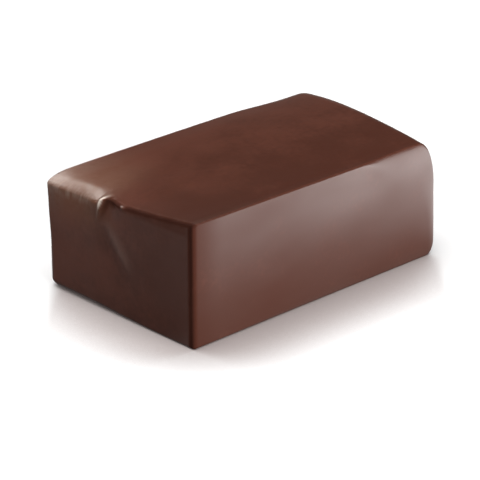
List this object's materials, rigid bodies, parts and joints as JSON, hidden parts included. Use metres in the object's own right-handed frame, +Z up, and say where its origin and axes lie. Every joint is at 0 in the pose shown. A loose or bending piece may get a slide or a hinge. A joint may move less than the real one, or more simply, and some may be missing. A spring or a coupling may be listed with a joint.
{
  "type": "candy bar",
  "caption": "Small oblong sweet under a smooth dark brown coat, with soft edges, a fold in the coat at one end and a flat base to rest on.",
  "frame": {"origin": "centre of the box around the bar, at the level of its flat base", "axes": "+X along the length, from the end with the fold to the plain end; +Y from the front to the back; +Z up"},
  "size_m": [0.0472, 0.0282, 0.0174],
  "materials": {
    "chocolate": "satin"
  },
  "bodies": {
    "root": {"bar": "chocolate"}
  },
  "joints": []
}
